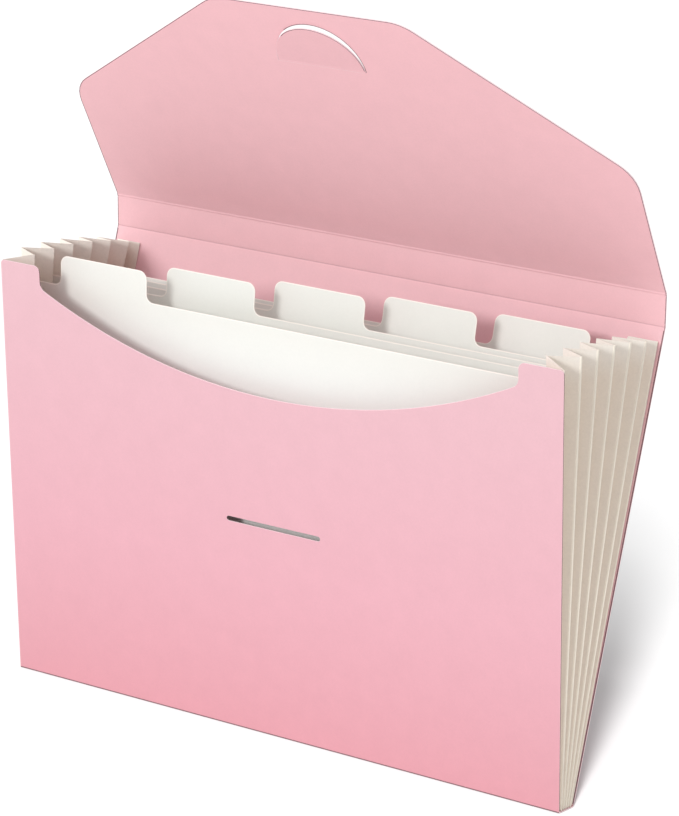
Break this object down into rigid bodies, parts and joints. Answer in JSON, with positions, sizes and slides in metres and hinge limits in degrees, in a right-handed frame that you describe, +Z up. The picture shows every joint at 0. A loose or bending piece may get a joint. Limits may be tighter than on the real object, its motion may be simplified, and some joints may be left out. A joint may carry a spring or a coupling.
{
  "type": "expanding file folder",
  "caption": "Card file folder standing open as a fan: creased cover with scooped front, pleated sides, tabbed dividers and a tuck flap.",
  "frame": {"origin": "middle of the base's underside, where the folder stands on the table", "axes": "+X to the right along the folder's width, -Y towards the front cover, +Z up"},
  "size_m": [0.33, 0.1026, 0.3745],
  "materials": {
    "cover_card": "matt blush pink cover card",
    "gusset_paper": "matt cream paper",
    "divider_card": "smooth matt white card"
  },
  "bodies": {
    "base": {"base_panel": "cover_card", "divider_3": "divider_card"},
    "front_cover": {"front_cover": "cover_card", "left_front_glue_tab": "gusset_paper", "right_front_glue_tab": "gusset_paper"},
    "rear_cover": {"rear_cover": "cover_card", "left_rear_glue_tab": "gusset_paper", "right_rear_glue_tab": "gusset_paper"},
    "closure_strip": {"closure_strip": "cover_card"},
    "flap": {"flap": "cover_card"},
    "tongue": {"tuck_tongue": "cover_card"},
    "divider_1": {"divider_1": "divider_card"},
    "divider_2": {"divider_2": "divider_card"},
    "divider_4": {"divider_4": "divider_card"},
    "divider_5": {"divider_5": "divider_card"},
    "left_pleat_01": {"left_pleat_01": "gusset_paper"},
    "left_pleat_02": {"left_pleat_02": "gusset_paper"},
    "left_pleat_03": {"left_pleat_03": "gusset_paper"},
    "left_pleat_04": {"left_pleat_04": "gusset_paper"},
    "left_pleat_05": {"left_pleat_05": "gusset_paper"},
    "left_pleat_06": {"left_pleat_06": "gusset_paper"},
    "left_pleat_07": {"left_pleat_07": "gusset_paper"},
    "left_pleat_08": {"left_pleat_08": "gusset_paper"},
    "left_pleat_09": {"left_pleat_09": "gusset_paper"},
    "left_pleat_10": {"left_pleat_10": "gusset_paper"},
    "left_pleat_11": {"left_pleat_11": "gusset_paper"},
    "left_pleat_12": {"left_pleat_12": "gusset_paper"},
    "right_pleat_01": {"right_pleat_01": "gusset_paper"},
    "right_pleat_02": {"right_pleat_02": "gusset_paper"},
    "right_pleat_03": {"right_pleat_03": "gusset_paper"},
    "right_pleat_04": {"right_pleat_04": "gusset_paper"},
    "right_pleat_05": {"right_pleat_05": "gusset_paper"},
    "right_pleat_06": {"right_pleat_06": "gusset_paper"},
    "right_pleat_07": {"right_pleat_07": "gusset_paper"},
    "right_pleat_08": {"right_pleat_08": "gusset_paper"},
    "right_pleat_09": {"right_pleat_09": "gusset_paper"},
    "right_pleat_10": {"right_pleat_10": "gusset_paper"},
    "right_pleat_11": {"right_pleat_11": "gusset_paper"},
    "right_pleat_12": {"right_pleat_12": "gusset_paper"}
  },
  "joints": [
    {"name": "front_cover_fold", "type": "hinge", "parent": "base", "child": "front_cover", "pos_m": [0, -0.00722, 0.0003], "axis": [-1, 0, 0], "range_deg": [-3.25, 10.75]},
    {"name": "rear_cover_fold", "type": "hinge", "parent": "base", "child": "rear_cover", "pos_m": [0, 0.00722, 0.0003], "axis": [1, 0, 0], "range_deg": [-3.26, 10.76]},
    {"name": "divider_1_fold", "type": "hinge", "parent": "base", "child": "divider_1", "pos_m": [0, -0.0044, 0.0003], "axis": [-1, 0, 0], "range_deg": [-2.17, 7.17]},
    {"name": "divider_2_fold", "type": "hinge", "parent": "base", "child": "divider_2", "pos_m": [0, -0.0022, 0.0003], "axis": [-1, 0, 0], "range_deg": [-1.09, 3.59]},
    {"name": "divider_4_fold", "type": "hinge", "parent": "base", "child": "divider_4", "pos_m": [0, 0.0022, 0.0003], "axis": [1, 0, 0], "range_deg": [-1.09, 3.59]},
    {"name": "divider_5_fold", "type": "hinge", "parent": "base", "child": "divider_5", "pos_m": [0, 0.0044, 0.0003], "axis": [1, 0, 0], "range_deg": [-2.17, 7.17]},
    {"name": "closure_strip_fold", "type": "hinge", "parent": "rear_cover", "child": "closure_strip", "pos_m": [0, 0.05199, 0.23609], "axis": [1, 0, 0], "range_deg": [-21.39, 70.76]},
    {"name": "flap_fold", "type": "hinge", "parent": "closure_strip", "child": "flap", "pos_m": [0, 0.04948, 0.2529], "axis": [1, 0, 0], "range_deg": [-116.5, 57.5]},
    {"name": "tongue_fold", "type": "hinge", "parent": "flap", "child": "tongue", "pos_m": [0, -0.02093, 0.34634], "axis": [1, 0, 0], "range_deg": [-6, 18]},
    {"name": "left_pleat_01_fold", "type": "hinge", "parent": "front_cover", "child": "left_pleat_01", "pos_m": [-0.1642, -0.02711, 0.11135], "axis": [0, 0.1865, -0.9825], "range_deg": [-8.53, 28.22]},
    {"name": "left_pleat_02_fold", "type": "hinge", "parent": "divider_1", "child": "left_pleat_02", "pos_m": [-0.1642, -0.01902, 0.11216], "axis": [0, -0.1248, 0.9922], "range_deg": [-8.53, 28.22]},
    {"name": "left_pleat_03_fold", "type": "hinge", "parent": "divider_1", "child": "left_pleat_03", "pos_m": [-0.1642, -0.01793, 0.11229], "axis": [0, 0.1248, -0.9922], "range_deg": [-8.53, 28.22]},
    {"name": "left_pleat_04_fold", "type": "hinge", "parent": "divider_2", "child": "left_pleat_04", "pos_m": [-0.1642, -0.0098, 0.11285], "axis": [0, -0.0625, 0.998], "range_deg": [-8.53, 28.22]},
    {"name": "left_pleat_05_fold", "type": "hinge", "parent": "divider_2", "child": "left_pleat_05", "pos_m": [-0.1642, -0.0087, 0.11292], "axis": [0, 0.0625, -0.998], "range_deg": [-8.53, 28.22]},
    {"name": "left_pleat_06_fold", "type": "hinge", "parent": "base", "child": "left_pleat_06", "pos_m": [-0.1642, -0.00055, 0.11311], "axis": [0, 0, 1], "range_deg": [-8.53, 28.22]},
    {"name": "left_pleat_07_fold", "type": "hinge", "parent": "base", "child": "left_pleat_07", "pos_m": [-0.1642, 0.00055, 0.11311], "axis": [0, 0, -1], "range_deg": [-8.53, 28.22]},
    {"name": "left_pleat_08_fold", "type": "hinge", "parent": "divider_4", "child": "left_pleat_08", "pos_m": [-0.1642, 0.0087, 0.11292], "axis": [0, 0.0625, 0.998], "range_deg": [-8.53, 28.22]},
    {"name": "left_pleat_09_fold", "type": "hinge", "parent": "divider_4", "child": "left_pleat_09", "pos_m": [-0.1642, 0.0098, 0.11285], "axis": [0, -0.0625, -0.998], "range_deg": [-8.53, 28.22]},
    {"name": "left_pleat_10_fold", "type": "hinge", "parent": "divider_5", "child": "left_pleat_10", "pos_m": [-0.1642, 0.01793, 0.11229], "axis": [0, 0.1248, 0.9922], "range_deg": [-8.53, 28.22]},
    {"name": "left_pleat_11_fold", "type": "hinge", "parent": "divider_5", "child": "left_pleat_11", "pos_m": [-0.1642, 0.01902, 0.11216], "axis": [0, -0.1248, -0.9922], "range_deg": [-8.53, 28.22]},
    {"name": "left_pleat_12_fold", "type": "hinge", "parent": "rear_cover", "child": "left_pleat_12", "pos_m": [-0.1634, 0.02711, 0.11134], "axis": [0.0067, 0.1865, 0.9824], "range_deg": [-9.47, 31.3]},
    {"name": "right_pleat_01_fold", "type": "hinge", "parent": "front_cover", "child": "right_pleat_01", "pos_m": [0.1642, -0.02711, 0.11135], "axis": [0, -0.1865, 0.9825], "range_deg": [-8.53, 28.22]},
    {"name": "right_pleat_02_fold", "type": "hinge", "parent": "divider_1", "child": "right_pleat_02", "pos_m": [0.1642, -0.01902, 0.11216], "axis": [0, 0.1248, -0.9922], "range_deg": [-8.53, 28.22]},
    {"name": "right_pleat_03_fold", "type": "hinge", "parent": "divider_1", "child": "right_pleat_03", "pos_m": [0.1642, -0.01793, 0.11229], "axis": [0, -0.1248, 0.9922], "range_deg": [-8.53, 28.22]},
    {"name": "right_pleat_04_fold", "type": "hinge", "parent": "divider_2", "child": "right_pleat_04", "pos_m": [0.1642, -0.0098, 0.11285], "axis": [0, 0.0625, -0.998], "range_deg": [-8.53, 28.22]},
    {"name": "right_pleat_05_fold", "type": "hinge", "parent": "divider_2", "child": "right_pleat_05", "pos_m": [0.1642, -0.0087, 0.11292], "axis": [0, -0.0625, 0.998], "range_deg": [-8.53, 28.22]},
    {"name": "right_pleat_06_fold", "type": "hinge", "parent": "base", "child": "right_pleat_06", "pos_m": [0.1642, -0.00055, 0.11311], "axis": [0, 0, -1], "range_deg": [-8.53, 28.22]},
    {"name": "right_pleat_07_fold", "type": "hinge", "parent": "base", "child": "right_pleat_07", "pos_m": [0.1642, 0.00055, 0.11311], "axis": [0, 0, 1], "range_deg": [-8.53, 28.22]},
    {"name": "right_pleat_08_fold", "type": "hinge", "parent": "divider_4", "child": "right_pleat_08", "pos_m": [0.1642, 0.0087, 0.11292], "axis": [0, -0.0625, -0.998], "range_deg": [-8.53, 28.22]},
    {"name": "right_pleat_09_fold", "type": "hinge", "parent": "divider_4", "child": "right_pleat_09", "pos_m": [0.1642, 0.0098, 0.11285], "axis": [0, 0.0625, 0.998], "range_deg": [-8.53, 28.22]},
    {"name": "right_pleat_10_fold", "type": "hinge", "parent": "divider_5", "child": "right_pleat_10", "pos_m": [0.1642, 0.01793, 0.11229], "axis": [0, -0.1248, -0.9922], "range_deg": [-8.53, 28.22]},
    {"name": "right_pleat_11_fold", "type": "hinge", "parent": "divider_5", "child": "right_pleat_11", "pos_m": [0.1642, 0.01902, 0.11216], "axis": [0, 0.1248, 0.9922], "range_deg": [-8.53, 28.22]},
    {"name": "right_pleat_12_fold", "type": "hinge", "parent": "rear_cover", "child": "right_pleat_12", "pos_m": [0.1634, 0.02711, 0.11134], "axis": [0.0067, -0.1865, -0.9824], "range_deg": [-9.47, 31.3]}
  ],
  "couplings": [
    {"joint": "rear_cover_fold", "follows": "front_cover_fold", "ratio": 1},
    {"joint": "divider_1_fold", "follows": "front_cover_fold", "ratio": 0.66667},
    {"joint": "divider_2_fold", "follows": "front_cover_fold", "ratio": 0.33333},
    {"joint": "divider_4_fold", "follows": "front_cover_fold", "ratio": 0.33333},
    {"joint": "divider_5_fold", "follows": "front_cover_fold", "ratio": 0.66667},
    {"joint": "closure_strip_fold", "follows": "front_cover_fold", "ratio": 6.5814},
    {"joint": "left_pleat_01_fold", "follows": "front_cover_fold", "ratio": 2.6244},
    {"joint": "left_pleat_02_fold", "follows": "front_cover_fold", "ratio": 2.6244},
    {"joint": "left_pleat_03_fold", "follows": "front_cover_fold", "ratio": 2.6244},
    {"joint": "left_pleat_04_fold", "follows": "front_cover_fold", "ratio": 2.6244},
    {"joint": "left_pleat_05_fold", "follows": "front_cover_fold", "ratio": 2.6244},
    {"joint": "left_pleat_06_fold", "follows": "front_cover_fold", "ratio": 2.6244},
    {"joint": "left_pleat_07_fold", "follows": "front_cover_fold", "ratio": 2.6244},
    {"joint": "left_pleat_08_fold", "follows": "front_cover_fold", "ratio": 2.6244},
    {"joint": "left_pleat_09_fold", "follows": "front_cover_fold", "ratio": 2.6244},
    {"joint": "left_pleat_10_fold", "follows": "front_cover_fold", "ratio": 2.6244},
    {"joint": "left_pleat_11_fold", "follows": "front_cover_fold", "ratio": 2.6244},
    {"joint": "left_pleat_12_fold", "follows": "front_cover_fold", "ratio": 2.9114},
    {"joint": "right_pleat_01_fold", "follows": "front_cover_fold", "ratio": 2.6244},
    {"joint": "right_pleat_02_fold", "follows": "front_cover_fold", "ratio": 2.6244},
    {"joint": "right_pleat_03_fold", "follows": "front_cover_fold", "ratio": 2.6244},
    {"joint": "right_pleat_04_fold", "follows": "front_cover_fold", "ratio": 2.6244},
    {"joint": "right_pleat_05_fold", "follows": "front_cover_fold", "ratio": 2.6244},
    {"joint": "right_pleat_06_fold", "follows": "front_cover_fold", "ratio": 2.6244},
    {"joint": "right_pleat_07_fold", "follows": "front_cover_fold", "ratio": 2.6244},
    {"joint": "right_pleat_08_fold", "follows": "front_cover_fold", "ratio": 2.6244},
    {"joint": "right_pleat_09_fold", "follows": "front_cover_fold", "ratio": 2.6244},
    {"joint": "right_pleat_10_fold", "follows": "front_cover_fold", "ratio": 2.6244},
    {"joint": "right_pleat_11_fold", "follows": "front_cover_fold", "ratio": 2.6244},
    {"joint": "right_pleat_12_fold", "follows": "front_cover_fold", "ratio": 2.9114}
  ]
}
